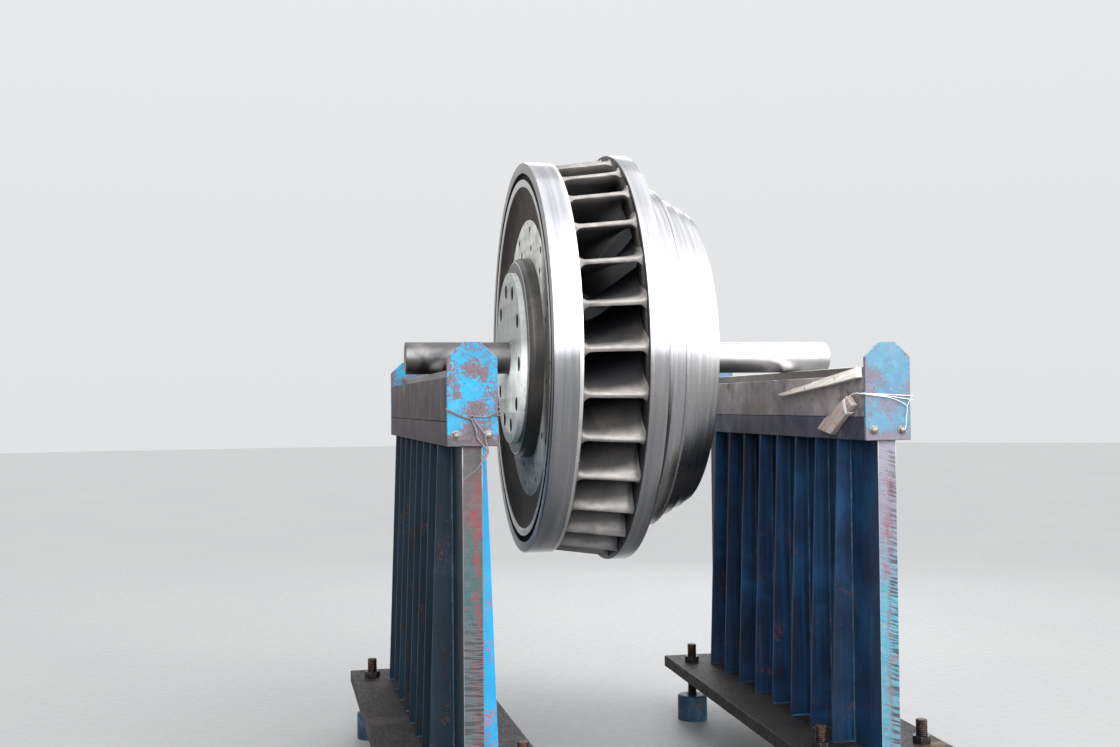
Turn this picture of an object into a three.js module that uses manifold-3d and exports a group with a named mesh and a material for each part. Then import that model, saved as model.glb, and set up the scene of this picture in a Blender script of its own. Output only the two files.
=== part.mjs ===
// Francis turbine runner on its arbor, resting on the hardened rails of two static balancing stands.
// Millimetres, +Z up. The origin lies on the floor, midway between the two stands.
// X runs along the arbor, from the crown side to the outlet side, and Y runs along the rails.

import * as THREE from 'three';
import { mergeVertices } from 'three/addons/utils/BufferGeometryUtils.js';
import Module from 'manifold-3d';

const wasm = await Module();
wasm.setup();

// Driving dimensions
const AXIS_HEIGHT = 1515;
const FIT = 0.3;
const RUNNER_SEGMENTS = 40;

// Runner, along its own axis from the plane of the crown's face towards the outlet
const FACE_X = -364;
const CROWN_RADIUS = 700;
const CROWN_RIM_WIDTH = 97.5;
const CROWN_CHAMFER = 4;
const GROOVE_OUTER_RADIUS = 663;
const GROOVE_DEPTH = 18;
const SEAL_RING_RADIUS = 642;
const SEAL_RING_INNER_RADIUS = 618;
const SEAL_RING_DEPTH = 1;
const WEB_MIDDLE_RADIUS = 560;
const WEB_MIDDLE_DEPTH = 24;
const COVER_RADIUS = 499;
const COVER_DEPTH = 30;
const SEAT_DEPTH = 45;
const BOSS_RADIUS = 360;
const BOSS_HEIGHT = 20;
const BOSS_CHAMFER = 16;
const FLANGE_RADIUS = 308;
const FLANGE_HEIGHT = 40;
const FLANGE_HOLES = 10;
const FLANGE_HOLE_RADIUS = 25;
const FLANGE_HOLE_CIRCLE = 247;
const FLANGE_HOLE_START = -7;
const FLANGE_HOLE_SEGMENTS = 10;
const HUB_BORE = 120;
const SPIGOT_END = 130;
const HUB_END_RADIUS = 165;
const HUB_END = 500;
const HUB_CURVE_STEPS = 7;
const HUB_PULL_RADIUS = 330;
const HUB_PULL_STATION = 250;

const INLET_END = 298;
const BAND_RADIUS = 731.6;
const BAND_LIP_RADIUS = 722;
const BAND_RIM_END = 363;
const SHOULDER_RADIUS = 560;
const SHOULDER_END = 440;
const SKIRT_RADIUS = 520;
const EYE_RADIUS = 492;
const OUTLET_END = 588;
const BAND_CURVE_STEPS = 6;
const BAND_PULL_RADIUS = 560;
const BAND_PULL_STATION = 330;
const WEAR_NECK_END = 378;
const WEAR_NECK_RADIUS = 596;
const WEAR_STEPS = [
  { radius: 614, end: 463 },
  { radius: 578, end: 515 },
  { radius: 553, end: 560 },
  { radius: 535, end: OUTLET_END },
];

// Blades: every second one is a shorter splitter
const BLADES = 30;
const BLADE_START = 0.008;
const LONG_BLADE_END = 0.8;
const SPLITTER_END = 0.46;
const BLADE_WRAP = 48;
const BLADE_INLET_TURN = 0.35;
const BLADE_THICKNESS = 20;
const BLADE_TAIL_THICKNESS = 8;
const BLADE_NOSE = 0.02;
const BLADE_NOSE_TRAVEL = 0.003;
const BLADE_NOSE_HALF = 7;
const BLADE_STATIONS = 4;
const BLADE_ROOT = 0.03;

// Arbor and the bush that centres the outlet side on it
const ARBOR_RADIUS = 57.5;
const ARBOR_START = -413;
const ARBOR_END = 1174;
const ARBOR_CHAMFER = 4;
const ARBOR_SEGMENTS = 24;
const BUSH_START = 430;
const BUSH_COLLAR_RADIUS = 150;
const BUSH_COLLAR_THICKNESS = 22;

// Balancing stands
const STAND_X = 656;
const LEFT_STAND_SHIFT = -15.5;
const LEFT_STAND_TURN = THREE.MathUtils.degToRad(2.05);
const CENTRE_SHIFT = 23.4;
const STAND_LENGTH = 1760;
const STOP_THICKNESS = 14;
const STOP_HEIGHT = 306;
const STOP_CHAMFER_WIDTH = 50;
const STOP_CHAMFER_HEIGHT = 47;
const BEAM_WIDTH = 150;
const BEAM_LENGTH = STAND_LENGTH - 2 * STOP_THICKNESS;
const STRIP_WIDTH = 46;
const STRIP_HEIGHT = 30;
const BEAM_HEIGHT = 203;
const WEB_THICKNESS = 60;
const RIB_THICKNESS = 10;
const RIB_PITCH = 187;
const RIBS = 8;
const RIB_TOP_WIDTH = 150;
const RIB_BOTTOM_WIDTH = 216;
const BASE_WIDTH = 500;
const BASE_THICKNESS = 45;
const BASE_TOP = 242;

// Levelling jacks at the corners of each base plate
const JACK_X = 172;
const JACK_Y = 720;
const SCREW_RADIUS = 19;
const SCREW_RISE = 78;
const NUT_RADIUS = 31;
const NUT_HEIGHT = 25;
const PAD_RADIUS = 62;
const PAD_HEIGHT = 105;
const PAD_CHAMFER = 6;
const SCREW_SEGMENTS = 12;
const PAD_SEGMENTS = 16;

// Two wooden chocks tied against the right stand's inner side, as [Y, Z] outlines
const CHOCK_THICKNESS = 22;
const LONG_CHOCK = [[-862, 1421], [-650, 1402], [-210, 1369], [-162, 1374], [-650, 1429], [-862, 1451]];
const SHORT_CHOCK = [[-824, 1334], [-648, 1238], [-540, 1256], [-600, 1290], [-785, 1363]];

// Levels that follow from the sizes above
const STRIP_TOP = AXIS_HEIGHT - ARBOR_RADIUS - FIT;
const STRIP_BOTTOM = STRIP_TOP - STRIP_HEIGHT;
const BEAM_BOTTOM = STRIP_BOTTOM - BEAM_HEIGHT;

// Finishes
function finish(color, roughness, metalness) {
  return new THREE.MeshStandardMaterial({ color, roughness, metalness });
}

const machinedSteel = () => finish(0x9a9a98, 0.35, 0.9);
const castSteel = () => finish(0x5b524c, 0.7, 0.6);
const patinaSteel = () => finish(0x8b9488, 0.6, 0.5);
const darkSteel = () => finish(0x3a3836, 0.5, 0.8);
const standPaint = () => finish(0x1f3a48, 0.55, 0.1);
const stopPaint = () => finish(0x3f8fc0, 0.5, 0.1);
const plateSteel = () => finish(0x4a3c36, 0.75, 0.5);
const bareWood = () => finish(0xc9b8a0, 0.8, 0);

// Solids from geometries, and geometries from solids
function toSolid(geometry) {
  const bare = geometry.clone();
  bare.deleteAttribute('normal');
  bare.deleteAttribute('uv');
  const merged = mergeVertices(bare);
  return new wasm.Manifold(new wasm.Mesh({
    numProp: 3,
    vertProperties: new Float32Array(merged.attributes.position.array),
    triVerts: new Uint32Array(merged.index.array),
  }));
}

function toGeometry(solid) {
  const mesh = solid.getMesh();
  const geometry = new THREE.BufferGeometry();
  geometry.setAttribute('position', new THREE.BufferAttribute(mesh.vertProperties, 3));
  geometry.setIndex(new THREE.BufferAttribute(mesh.triVerts, 1));
  geometry.computeVertexNormals();
  return geometry;
}

function namedMesh(name, geometry, material) {
  const mesh = new THREE.Mesh(geometry, material);
  mesh.name = name;
  return mesh;
}

// A body of revolution about its own Y axis, from [radius, station] pairs along its section
function lathe(pairs, segments) {
  const points = pairs.map(([radius, station]) => new THREE.Vector2(radius, station));
  return new THREE.LatheGeometry(points, segments);
}

// The same with a section that closes on itself, so that the body is a ring
function ring(pairs) {
  return lathe([...pairs, pairs[0]], RUNNER_SEGMENTS);
}

// Walls of the water passage in the meridional plane, as [station, radius] curves
const hubWall = new THREE.CubicBezierCurve(
  new THREE.Vector2(CROWN_RIM_WIDTH, CROWN_RADIUS),
  new THREE.Vector2(CROWN_RIM_WIDTH, HUB_PULL_RADIUS),
  new THREE.Vector2(HUB_PULL_STATION, HUB_END_RADIUS),
  new THREE.Vector2(HUB_END, HUB_END_RADIUS),
);
const bandWall = new THREE.CubicBezierCurve(
  new THREE.Vector2(INLET_END, BAND_LIP_RADIUS),
  new THREE.Vector2(INLET_END, BAND_PULL_RADIUS),
  new THREE.Vector2(BAND_PULL_STATION, EYE_RADIUS),
  new THREE.Vector2(OUTLET_END, EYE_RADIUS),
);

function wallPairs(wall, steps, offset = 0) {
  return wall.getPoints(steps).map((point) => [point.y + offset, point.x + offset]);
}

function crownGeometry() {
  return ring([
    [HUB_BORE, HUB_END],
    ...wallPairs(hubWall, HUB_CURVE_STEPS).reverse(),
    [CROWN_RADIUS, CROWN_CHAMFER],
    [CROWN_RADIUS - CROWN_CHAMFER, 0],
    [GROOVE_OUTER_RADIUS, 0],
    [GROOVE_OUTER_RADIUS, GROOVE_DEPTH],
    [SEAL_RING_RADIUS, GROOVE_DEPTH],
    [SEAL_RING_RADIUS, SEAL_RING_DEPTH],
    [SEAL_RING_INNER_RADIUS, SEAL_RING_DEPTH],
    [WEB_MIDDLE_RADIUS, WEB_MIDDLE_DEPTH],
    [COVER_RADIUS, COVER_DEPTH],
    [COVER_RADIUS, SEAT_DEPTH],
    [HUB_BORE, SEAT_DEPTH],
  ].reverse());
}

// A plain ring between two radii and two stations
function washer(inner, outer, start, end) {
  return ring([[inner, start], [outer, start], [outer, end], [inner, end]]);
}

function bossGeometry() {
  return ring([
    [FLANGE_RADIUS + FIT, -BOSS_HEIGHT],
    [BOSS_RADIUS - BOSS_CHAMFER, -BOSS_HEIGHT],
    [BOSS_RADIUS, BOSS_CHAMFER - BOSS_HEIGHT],
    [BOSS_RADIUS, SEAT_DEPTH - FIT],
    [FLANGE_RADIUS + FIT, SEAT_DEPTH - FIT],
  ]);
}

function flangeGeometry() {
  const flange = ring([
    [ARBOR_RADIUS + FIT, -FLANGE_HEIGHT],
    [FLANGE_RADIUS, -FLANGE_HEIGHT],
    [FLANGE_RADIUS, SEAT_DEPTH - FIT],
    [HUB_BORE - FIT, SEAT_DEPTH - FIT],
    [HUB_BORE - FIT, SPIGOT_END],
    [ARBOR_RADIUS + FIT, SPIGOT_END],
  ]);
  let solid = toSolid(flange);
  for (let index = 0; index < FLANGE_HOLES; index += 1) {
    const angle = THREE.MathUtils.degToRad(FLANGE_HOLE_START + (index * 360) / FLANGE_HOLES);
    const length = 2 * (FLANGE_HEIGHT + SEAT_DEPTH);
    const radius = FLANGE_HOLE_RADIUS;
    const drill = new THREE.CylinderGeometry(radius, radius, length, FLANGE_HOLE_SEGMENTS);
    drill.translate(FLANGE_HOLE_CIRCLE * Math.cos(angle), 0, FLANGE_HOLE_CIRCLE * Math.sin(angle));
    solid = solid.subtract(toSolid(drill));
  }
  return toGeometry(solid);
}

function bushGeometry() {
  const seat = HUB_END + FIT;
  return ring([
    [ARBOR_RADIUS + FIT, BUSH_START],
    [HUB_BORE - FIT, BUSH_START],
    [HUB_BORE - FIT, seat],
    [BUSH_COLLAR_RADIUS, seat],
    [BUSH_COLLAR_RADIUS, seat + BUSH_COLLAR_THICKNESS],
    [ARBOR_RADIUS + FIT, seat + BUSH_COLLAR_THICKNESS],
  ]);
}

function wearRingGeometry() {
  const outline = [
    [SKIRT_RADIUS + FIT, SHOULDER_END + FIT],
    [SHOULDER_RADIUS + FIT, SHOULDER_END + FIT],
    [SHOULDER_RADIUS + FIT, BAND_RIM_END + FIT],
    [WEAR_NECK_RADIUS, BAND_RIM_END + FIT],
    [WEAR_NECK_RADIUS, WEAR_NECK_END],
  ];
  let start = WEAR_NECK_END;
  for (const step of WEAR_STEPS) {
    outline.push([step.radius, start], [step.radius, step.end]);
    start = step.end;
  }
  outline.push([SKIRT_RADIUS + FIT, OUTLET_END]);
  return ring(outline);
}

function bandGeometry() {
  return ring([
    ...wallPairs(bandWall, BAND_CURVE_STEPS),
    [SKIRT_RADIUS, OUTLET_END],
    [SKIRT_RADIUS, SHOULDER_END],
    [SHOULDER_RADIUS, SHOULDER_END],
    [SHOULDER_RADIUS, BAND_RIM_END],
    [BAND_RADIUS, BAND_RIM_END],
    [BAND_RADIUS, INLET_END],
  ].reverse());
}

// How far the blades have turned about the axis at a travel from 0 at the inlet to 1 at the outlet
function bladeTurn(travel) {
  const share = travel / LONG_BLADE_END;
  const bend = BLADE_INLET_TURN * share + (1 - BLADE_INLET_TURN) * share * share;
  return THREE.MathUtils.degToRad(BLADE_WRAP) * bend;
}

function aroundAxis(radius, station, turn) {
  return new THREE.Vector3(radius * Math.cos(turn), station, radius * Math.sin(turn));
}

// Point of a blade's middle surface: travel runs from inlet to outlet, span from crown to band.
function bladePoint(travel, span, phase) {
  const meridian = hubWall.getPoint(travel).lerp(bandWall.getPoint(travel), span);
  return aroundAxis(meridian.y, meridian.x, phase + bladeTurn(travel));
}

function bladeNormal(travel, span, phase) {
  const step = 0.001;
  const along = bladePoint(travel + step, span, phase).sub(bladePoint(travel, span, phase));
  const across = bladePoint(travel, 1, phase).sub(bladePoint(travel, 0, phase));
  return along.cross(across).normalize();
}

// The section's travel stations with their half thickness: a round nose, then a long taper to the tail
function bladeStations(end) {
  const stations = [
    { travel: BLADE_START, half: 0 },
    { travel: BLADE_START + BLADE_NOSE_TRAVEL, half: BLADE_NOSE_HALF },
  ];
  for (let index = 0; index <= BLADE_STATIONS; index += 1) {
    const share = index / BLADE_STATIONS;
    stations.push({
      travel: THREE.MathUtils.lerp(BLADE_START + BLADE_NOSE, end, share),
      half: THREE.MathUtils.lerp(BLADE_THICKNESS, BLADE_TAIL_THICKNESS, share) / 2,
    });
  }
  return stations;
}

function bladeGeometry(end, phase) {
  const stations = bladeStations(end);
  const loopAt = (span) => {
    const side = (sign) => stations.map(({ travel, half }) => bladePoint(travel, span, phase)
      .addScaledVector(bladeNormal(travel, span, phase), sign * half));
    return [...side(1), ...side(-1).slice(1).reverse()];
  };
  const loops = [loopAt(-BLADE_ROOT), loopAt(1 + BLADE_ROOT)];
  const count = loops[0].length;
  const indices = [];
  // Both faces are cut along the same diagonals, so that they stay parallel where the blade is twisted
  for (let index = 0; index < count; index += 1) {
    const next = (index + 1) % count;
    if (index < stations.length - 1) {
      indices.push(index, next, count + next, index, count + next, count + index);
    } else {
      indices.push(index, next, count + index, next, count + next, count + index);
    }
  }
  for (let index = 0; index + 2 < count - index; index += 1) {
    const opposite = (count - index) % count;
    const before = count - index - 1;
    const cap = index === 0 ? [[0, before, 1]] : [[index, opposite, before], [index, before, index + 1]];
    for (const [a, b, c] of cap) {
      indices.push(a, b, c, count + a, count + c, count + b);
    }
  }
  const geometry = new THREE.BufferGeometry().setFromPoints(loops.flat());
  geometry.setIndex(indices);
  return geometry;
}

// Both sides of the passage, each with the fit, as tools that cut the blades to length
function crownSideTool() {
  return toSolid(lathe([
    [0, 0],
    [BAND_RADIUS, 0],
    [BAND_RADIUS, CROWN_RIM_WIDTH + FIT],
    ...wallPairs(hubWall, HUB_CURVE_STEPS, FIT),
    [0, HUB_END + FIT],
  ], RUNNER_SEGMENTS));
}

function bandSideTool() {
  return toSolid(ring([
    ...wallPairs(bandWall, BAND_CURVE_STEPS, -FIT),
    [BAND_RADIUS, OUTLET_END],
    [BAND_RADIUS, INLET_END - FIT],
  ].reverse()));
}

// Long blades and splitters take turns round the runner, and each is numbered by itself
function makeBlades() {
  const crownSide = crownSideTool();
  const bandSide = bandSideTool();
  return Array.from({ length: BLADES }, (unused, index) => {
    const long = index % 2 === 0;
    const end = long ? LONG_BLADE_END : SPLITTER_END;
    const number = String(Math.floor(index / 2) + 1).padStart(2, '0');
    const whole = toSolid(bladeGeometry(end, THREE.MathUtils.degToRad((index * 360) / BLADES)));
    const blade = toGeometry(whole.subtract(crownSide).subtract(bandSide));
    return namedMesh(`${long ? 'long' : 'splitter'}_blade_${number}`, blade, castSteel());
  });
}

function arborGeometry() {
  return lathe([
    [0, ARBOR_START],
    [ARBOR_RADIUS - ARBOR_CHAMFER, ARBOR_START],
    [ARBOR_RADIUS, ARBOR_START + ARBOR_CHAMFER],
    [ARBOR_RADIUS, ARBOR_END - ARBOR_CHAMFER],
    [ARBOR_RADIUS - ARBOR_CHAMFER, ARBOR_END],
    [0, ARBOR_END],
  ], ARBOR_SEGMENTS);
}

// Everything that turns, built about a Y axis and laid along X
function makeRotor() {
  const rotor = new THREE.Group();
  rotor.position.set(FACE_X, 0, AXIS_HEIGHT);
  rotor.rotation.z = -Math.PI / 2;
  const coverDisc = washer(BOSS_RADIUS + FIT, COVER_RADIUS - FIT, COVER_DEPTH, SEAT_DEPTH - FIT);
  rotor.add(
    namedMesh('crown', crownGeometry(), castSteel()),
    namedMesh('crown_cover_disc', coverDisc, patinaSteel()),
    namedMesh('hub_boss', bossGeometry(), darkSteel()),
    namedMesh('arbor_flange', flangeGeometry(), patinaSteel()),
    namedMesh('outlet_bush', bushGeometry(), machinedSteel()),
    namedMesh('band', bandGeometry(), castSteel()),
    namedMesh('band_wear_ring', wearRingGeometry(), machinedSteel()),
    namedMesh('arbor', arborGeometry(), darkSteel()),
  );
  rotor.add(...makeBlades());
  return rotor;
}

// A box from its size and the middle of its underside
function block(width, length, height, bottom) {
  const geometry = new THREE.BoxGeometry(width, length, height);
  geometry.translate(0, 0, bottom + height / 2);
  return geometry;
}

// The solid web of a stand with its tapered ribs across it
function standFrameGeometry() {
  const height = BEAM_BOTTOM - BASE_TOP;
  let solid = toSolid(block(WEB_THICKNESS, BEAM_LENGTH, height, BASE_TOP));
  const outline = new THREE.Shape([
    new THREE.Vector2(-RIB_BOTTOM_WIDTH / 2, BASE_TOP),
    new THREE.Vector2(RIB_BOTTOM_WIDTH / 2, BASE_TOP),
    new THREE.Vector2(RIB_TOP_WIDTH / 2, BEAM_BOTTOM),
    new THREE.Vector2(-RIB_TOP_WIDTH / 2, BEAM_BOTTOM),
  ]);
  for (let index = 0; index < RIBS; index += 1) {
    const rib = new THREE.ExtrudeGeometry(outline, { depth: RIB_THICKNESS, bevelEnabled: false });
    rib.rotateX(Math.PI / 2);
    rib.translate(0, (index - (RIBS - 1) / 2) * RIB_PITCH + RIB_THICKNESS / 2, 0);
    solid = solid.add(toSolid(rib));
  }
  return toGeometry(solid);
}

function stopPlateGeometry() {
  const half = BEAM_WIDTH / 2;
  const top = BEAM_BOTTOM + STOP_HEIGHT;
  const outline = new THREE.Shape([
    new THREE.Vector2(-half, BEAM_BOTTOM),
    new THREE.Vector2(half, BEAM_BOTTOM),
    new THREE.Vector2(half, top - STOP_CHAMFER_HEIGHT),
    new THREE.Vector2(half - STOP_CHAMFER_WIDTH, top),
    new THREE.Vector2(STOP_CHAMFER_WIDTH - half, top),
    new THREE.Vector2(-half, top - STOP_CHAMFER_HEIGHT),
  ]);
  const plate = new THREE.ExtrudeGeometry(outline, { depth: STOP_THICKNESS, bevelEnabled: false });
  plate.rotateX(Math.PI / 2);
  return plate;
}

function basePlateGeometry() {
  let solid = toSolid(block(BASE_WIDTH, STAND_LENGTH, BASE_THICKNESS, BASE_TOP - BASE_THICKNESS));
  for (const [x, y] of jackPlaces()) {
    const drill = upright(SCREW_RADIUS + FIT, BASE_TOP - 2 * BASE_THICKNESS, BASE_TOP + BASE_THICKNESS);
    drill.translate(x, y, 0);
    solid = solid.subtract(toSolid(drill));
  }
  return toGeometry(solid);
}

function jackPlaces() {
  return [[-JACK_X, -JACK_Y], [JACK_X, -JACK_Y], [-JACK_X, JACK_Y], [JACK_X, JACK_Y]];
}

// A vertical cylinder between two heights
function upright(radius, bottom, top, segments = SCREW_SEGMENTS) {
  const geometry = new THREE.CylinderGeometry(radius, radius, top - bottom, segments);
  geometry.rotateX(Math.PI / 2);
  geometry.translate(0, 0, (bottom + top) / 2);
  return geometry;
}

// A jack's screw with its nut, seated in its round foot pad
function jackGeometry() {
  const screw = toSolid(upright(SCREW_RADIUS, PAD_HEIGHT / 2, BASE_TOP + SCREW_RISE));
  const nut = toSolid(upright(NUT_RADIUS, BASE_TOP + FIT, BASE_TOP + NUT_HEIGHT, 6));
  const pad = lathe([
    [0, 0],
    [PAD_RADIUS, 0],
    [PAD_RADIUS, PAD_HEIGHT - PAD_CHAMFER],
    [PAD_RADIUS - PAD_CHAMFER, PAD_HEIGHT],
    [0, PAD_HEIGHT],
  ], PAD_SEGMENTS);
  return toGeometry(screw.add(nut).add(toSolid(pad.rotateX(Math.PI / 2))));
}

// One stand, centred under the arbor
function makeStand(side, centreX, turn) {
  const stand = new THREE.Group();
  stand.position.x = centreX;
  stand.rotation.z = turn;
  const strip = block(STRIP_WIDTH, BEAM_LENGTH, STRIP_HEIGHT, STRIP_BOTTOM);
  const railBeam = block(BEAM_WIDTH, BEAM_LENGTH, BEAM_HEIGHT, BEAM_BOTTOM);
  const nearStop = namedMesh(`${side}_near_stop_plate`, stopPlateGeometry(), stopPaint());
  nearStop.position.y = STOP_THICKNESS - STAND_LENGTH / 2;
  const farStop = namedMesh(`${side}_far_stop_plate`, stopPlateGeometry(), stopPaint());
  farStop.position.y = STAND_LENGTH / 2;
  stand.add(
    namedMesh(`${side}_rail_strip`, strip, machinedSteel()),
    namedMesh(`${side}_rail_beam`, railBeam, plateSteel()),
    namedMesh(`${side}_stand_frame`, standFrameGeometry(), standPaint()),
    namedMesh(`${side}_base_plate`, basePlateGeometry(), plateSteel()),
    nearStop,
    farStop,
  );
  jackPlaces().forEach(([x, y], index) => {
    const jack = namedMesh(`${side}_levelling_jack_${index + 1}`, jackGeometry(), darkSteel());
    jack.position.set(x, y, 0);
    stand.add(jack);
  });
  return stand;
}

function chockGeometry(outline) {
  const shape = new THREE.Shape(outline.map(([y, z]) => new THREE.Vector2(y, z)));
  const chock = new THREE.ExtrudeGeometry(shape, { depth: CHOCK_THICKNESS, bevelEnabled: false });
  chock.rotateX(Math.PI / 2);
  return chock.rotateZ(Math.PI / 2);
}

function makeChocks() {
  const chocks = new THREE.Group();
  chocks.position.x = STAND_X - BEAM_WIDTH / 2 - FIT - CHOCK_THICKNESS;
  chocks.add(
    namedMesh('right_long_chock', chockGeometry(LONG_CHOCK), bareWood()),
    namedMesh('right_short_chock', chockGeometry(SHORT_CHOCK), bareWood()),
  );
  return chocks;
}

const group = new THREE.Group();
group.position.x = CENTRE_SHIFT;
group.add(
  makeStand('left', LEFT_STAND_SHIFT - STAND_X, LEFT_STAND_TURN),
  makeStand('right', STAND_X, 0),
  makeChocks(),
  makeRotor(),
);

export default group;
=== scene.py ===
"""A Francis turbine runner on its arbor, resting across two balancing stands."""

import random
from functools import partialmethod
from math import copysign, cos, hypot, pi, radians, sin, sqrt, tau

import bmesh
import bpy
from mathutils import Matrix, Vector, noise


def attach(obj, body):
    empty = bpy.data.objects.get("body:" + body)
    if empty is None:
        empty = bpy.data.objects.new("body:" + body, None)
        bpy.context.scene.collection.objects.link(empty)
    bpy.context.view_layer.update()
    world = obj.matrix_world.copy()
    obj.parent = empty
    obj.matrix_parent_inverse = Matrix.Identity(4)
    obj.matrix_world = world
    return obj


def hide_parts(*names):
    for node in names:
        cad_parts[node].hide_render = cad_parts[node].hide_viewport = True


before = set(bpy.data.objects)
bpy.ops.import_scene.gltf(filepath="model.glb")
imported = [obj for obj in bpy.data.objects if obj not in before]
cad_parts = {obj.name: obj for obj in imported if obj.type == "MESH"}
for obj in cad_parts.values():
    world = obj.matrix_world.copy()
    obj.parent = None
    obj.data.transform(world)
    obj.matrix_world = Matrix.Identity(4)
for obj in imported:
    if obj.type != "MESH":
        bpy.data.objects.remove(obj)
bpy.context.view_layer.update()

# Sizes in millimetres: stations run along the axis from the crown's face, radii from the axis
FACE_X = -364
AXIS_Z = 1515
CENTRE_SHIFT = 23.4

CROWN_RADIUS = 700
BAND_RADIUS = 731.6
HUB_WALL = ((97.5, 700), (97.5, 330), (250, 165), (500, 165))
BAND_WALL = ((298, 722), (298, 560), (330, 492), (588, 492))
# Each step of the drum has a radius, the station where it ends, and the stations of its grooves
WEAR_START = 378
WEAR_STEPS = ((614, 463, (396, 449)), (578, 515, ()), (553, 560, ()), (535, 588, ()))
FLANGE_RADIUS = 308
BOSS_RADIUS = 360
PLATE_BACK = 44.7
ARBOR_RADIUS = 57.5
ARBOR_ENDS = (-413, 1174)

# Travels run along a passage, from 0 at the inlet to 1 at the outlet
BLADES = 30
BLADE_START = 0.008
LONG_END = 0.8
SPLITTER_END = 0.46
BLADE_WRAP = 48
BLADE_HALF = 11
BLADE_TAIL_HALF = 4
ROOT_FILLET = 26
ROOT_ROWS = (-3, 0.6, 2.2, 5, 9, 14, 20, 27, 34)
NOSE_UPPER = 34
NOSE_LOWER = 4

STAND_X = 656
LEFT_STAND_SHIFT = -15.5
LEFT_STAND_TURN = radians(2.05)
BASE_TOP = 242
BEAM_BOTTOM = 1224.2
CAP_TOP = 1297.2
BLOCK_TOP = 1427.2
BEAM_HALF = 75
BEAM_END = 866
BEAM_GAP = 0.6
PLATE_FACE = 880
RIBS = 8
RIB_PITCH = 187
RIB_HALF = 5
WEB_HALF = 30
JACK_PLACES = ((-172, -720), (172, -720), (-172, 720), (172, 720))
THREAD_PITCH = 6
NUT_LEVELS = ((242.3, 26.5), (242.3, 29), (244, 31.2), (264.4, 31.2), (266.8, 28), (266.8, 19))
LEFT_BOLTS = ((-49.5, 1257), (45.6, 1257))
RIGHT_BOLTS = ((-48, 1256), (45, 1256))
CHOCK_LAYERS = ((558.9, 2.2), (560.4, 0.4), (566, -0.4), (574, -0.4), (579, 0.4), (580.4, 2.2))
LONG_CHOCK = ((-862, 1421), (-650, 1402), (-210, 1369), (-162, 1374), (-650, 1429), (-862, 1451))
SHORT_CHOCK = ((-824, 1334), (-648, 1238), (-540, 1256), (-600, 1290), (-785, 1363))

SPECULAR = 0.2
SOOT = (0.022, 0.018, 0.02)


def placing(turned):
    """From the runner's frame to the model's; the left stand is turned and shifted as well."""
    centre = Matrix.Translation((CENTRE_SHIFT, 0, 0))
    if not turned:
        return centre
    there = Matrix.Translation((LEFT_STAND_SHIFT - STAND_X, 0, 0))
    back = Matrix.Translation((STAND_X, 0, 0))
    return centre @ there @ Matrix.Rotation(LEFT_STAND_TURN, 4, "Z") @ back


def placed(name, data):
    """A new object in the scene."""
    item = bpy.data.objects.new(name, data)
    bpy.context.scene.collection.objects.link(item)
    return item


# Materials


class Nodes:
    """A node tree, with short calls for the kinds of node that the finishes share."""

    def __init__(self, tree, place, mapping=()):
        self.nodes = tree.nodes
        self.links = tree.links
        self.place = self.node("TexCoord").outputs[place]
        if mapping:
            self.place = self.node("Mapping", self.place, *mapping).outputs[0]
        self.x, self.y, self.z = self.node("SeparateXYZ", self.place).outputs

    def node(self, kind, *values):
        """A new node, with values or links for its first inputs."""
        node = self.nodes.new("ShaderNode" + kind)
        for socket, value in zip(node.inputs, values):
            self.join(value, socket)
        return node

    def join(self, value, socket):
        if isinstance(value, bpy.types.NodeSocket):
            self.links.new(value, socket)
        elif socket.type == "RGBA":
            socket.default_value = (*value, 1)
        else:
            socket.default_value = value

    def fill(self, node, **values):
        for name, value in values.items():
            self.join(value, node.inputs[name])

    def math(self, operation, *values):
        node = self.node("Math", *values)
        node.operation = operation
        return node.outputs[0]

    plus = partialmethod(math, "ADD")
    less = partialmethod(math, "SUBTRACT")
    times = partialmethod(math, "MULTIPLY")
    over = partialmethod(math, "DIVIDE")
    line = partialmethod(math, "MULTIPLY_ADD")
    most = partialmethod(math, "MAXIMUM")
    size = partialmethod(math, "ABSOLUTE")

    def far(self, first, second):
        squares = self.plus(self.times(first, first), self.times(second, second))
        return self.math("SQRT", self.most(squares, 1e-6))

    def vector(self, x, y, z):
        return self.node("CombineXYZ", x, y, z).outputs[0]

    def noise(self, scale, detail=4, rough=0.55, bend=0, at=None):
        node = self.node("TexNoise", self.place if at is None else at)
        self.fill(node, Scale=scale, Detail=detail, Roughness=rough, Distortion=bend)
        return node.outputs["Fac"]

    def grain(self, stretch, detail, rough, bend=0):
        """Noise that changes at its own pace along each axis."""
        node = self.node("VectorMath", self.place, stretch)
        node.operation = "MULTIPLY"
        return self.noise(1, detail, rough, bend, node.outputs[0])

    def range(self, value, low, high, start=0, end=1):
        node = self.node("MapRange", value, low, high, start, end)
        node.clamp = True
        return node.outputs[0]

    def ramp(self, value, *stops):
        """Colours along a value; a stop is its position and the three channels."""
        node = self.node("ValToRGB", value)
        elements = node.color_ramp.elements
        while len(elements) < len(stops):
            elements.new(0.5)
        for element, (position, *colour) in zip(elements, stops):
            element.position = position
            element.color = (*colour, 1)
        return node.outputs[0]

    def mix(self, amount, first, second):
        node = self.node("Mix", amount)
        node.data_type = "RGBA"
        self.join(first, node.inputs[6])
        self.join(second, node.inputs[7])
        return node.outputs[2]

    def cover(self, colour, tint, value, low, high, amount):
        """Lays a tint over the colour, up to that amount as the value goes from low to high."""
        return self.mix(self.range(value, low, high, 0, amount), colour, tint)


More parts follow.
